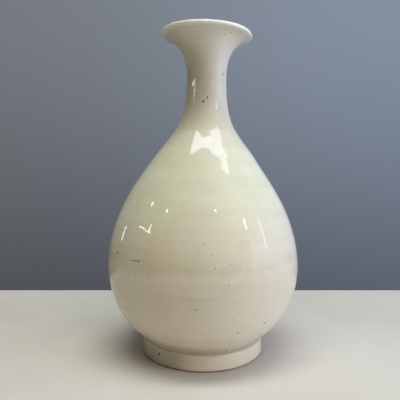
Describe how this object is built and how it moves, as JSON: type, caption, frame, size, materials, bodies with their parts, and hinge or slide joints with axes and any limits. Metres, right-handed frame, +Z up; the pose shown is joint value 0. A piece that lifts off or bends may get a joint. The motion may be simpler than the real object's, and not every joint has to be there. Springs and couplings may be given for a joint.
{
  "type": "pear-shaped vase",
  "caption": "Hand-thrown pear-shaped vase with a round belly, slender neck, flared trumpet mouth and low foot ring, milky glaze inside and out; holds stems or water.",
  "frame": {"origin": "centre of the foot ring's bearing face, on the surface the vase stands on", "axes": "+Z up the vase; +X is the side that the neck leans to and the rim dips on; the picture looks along +Y"},
  "size_m": [0.1804, 0.1804, 0.3013],
  "materials": {
    "bare_clay": "matte",
    "luting_slip": "matte",
    "milk_white_glaze": "gloss"
  },
  "bodies": {
    "root": {"foot_ring": "bare_clay", "foot_slip": "luting_slip", "lower_body": "bare_clay", "belly_slip": "luting_slip", "upper_body": "bare_clay", "neck_slip": "luting_slip", "neck": "bare_clay", "outer_glaze": "milk_white_glaze", "inner_glaze": "milk_white_glaze", "foot_well_glaze": "milk_white_glaze"}
  },
  "joints": []
}
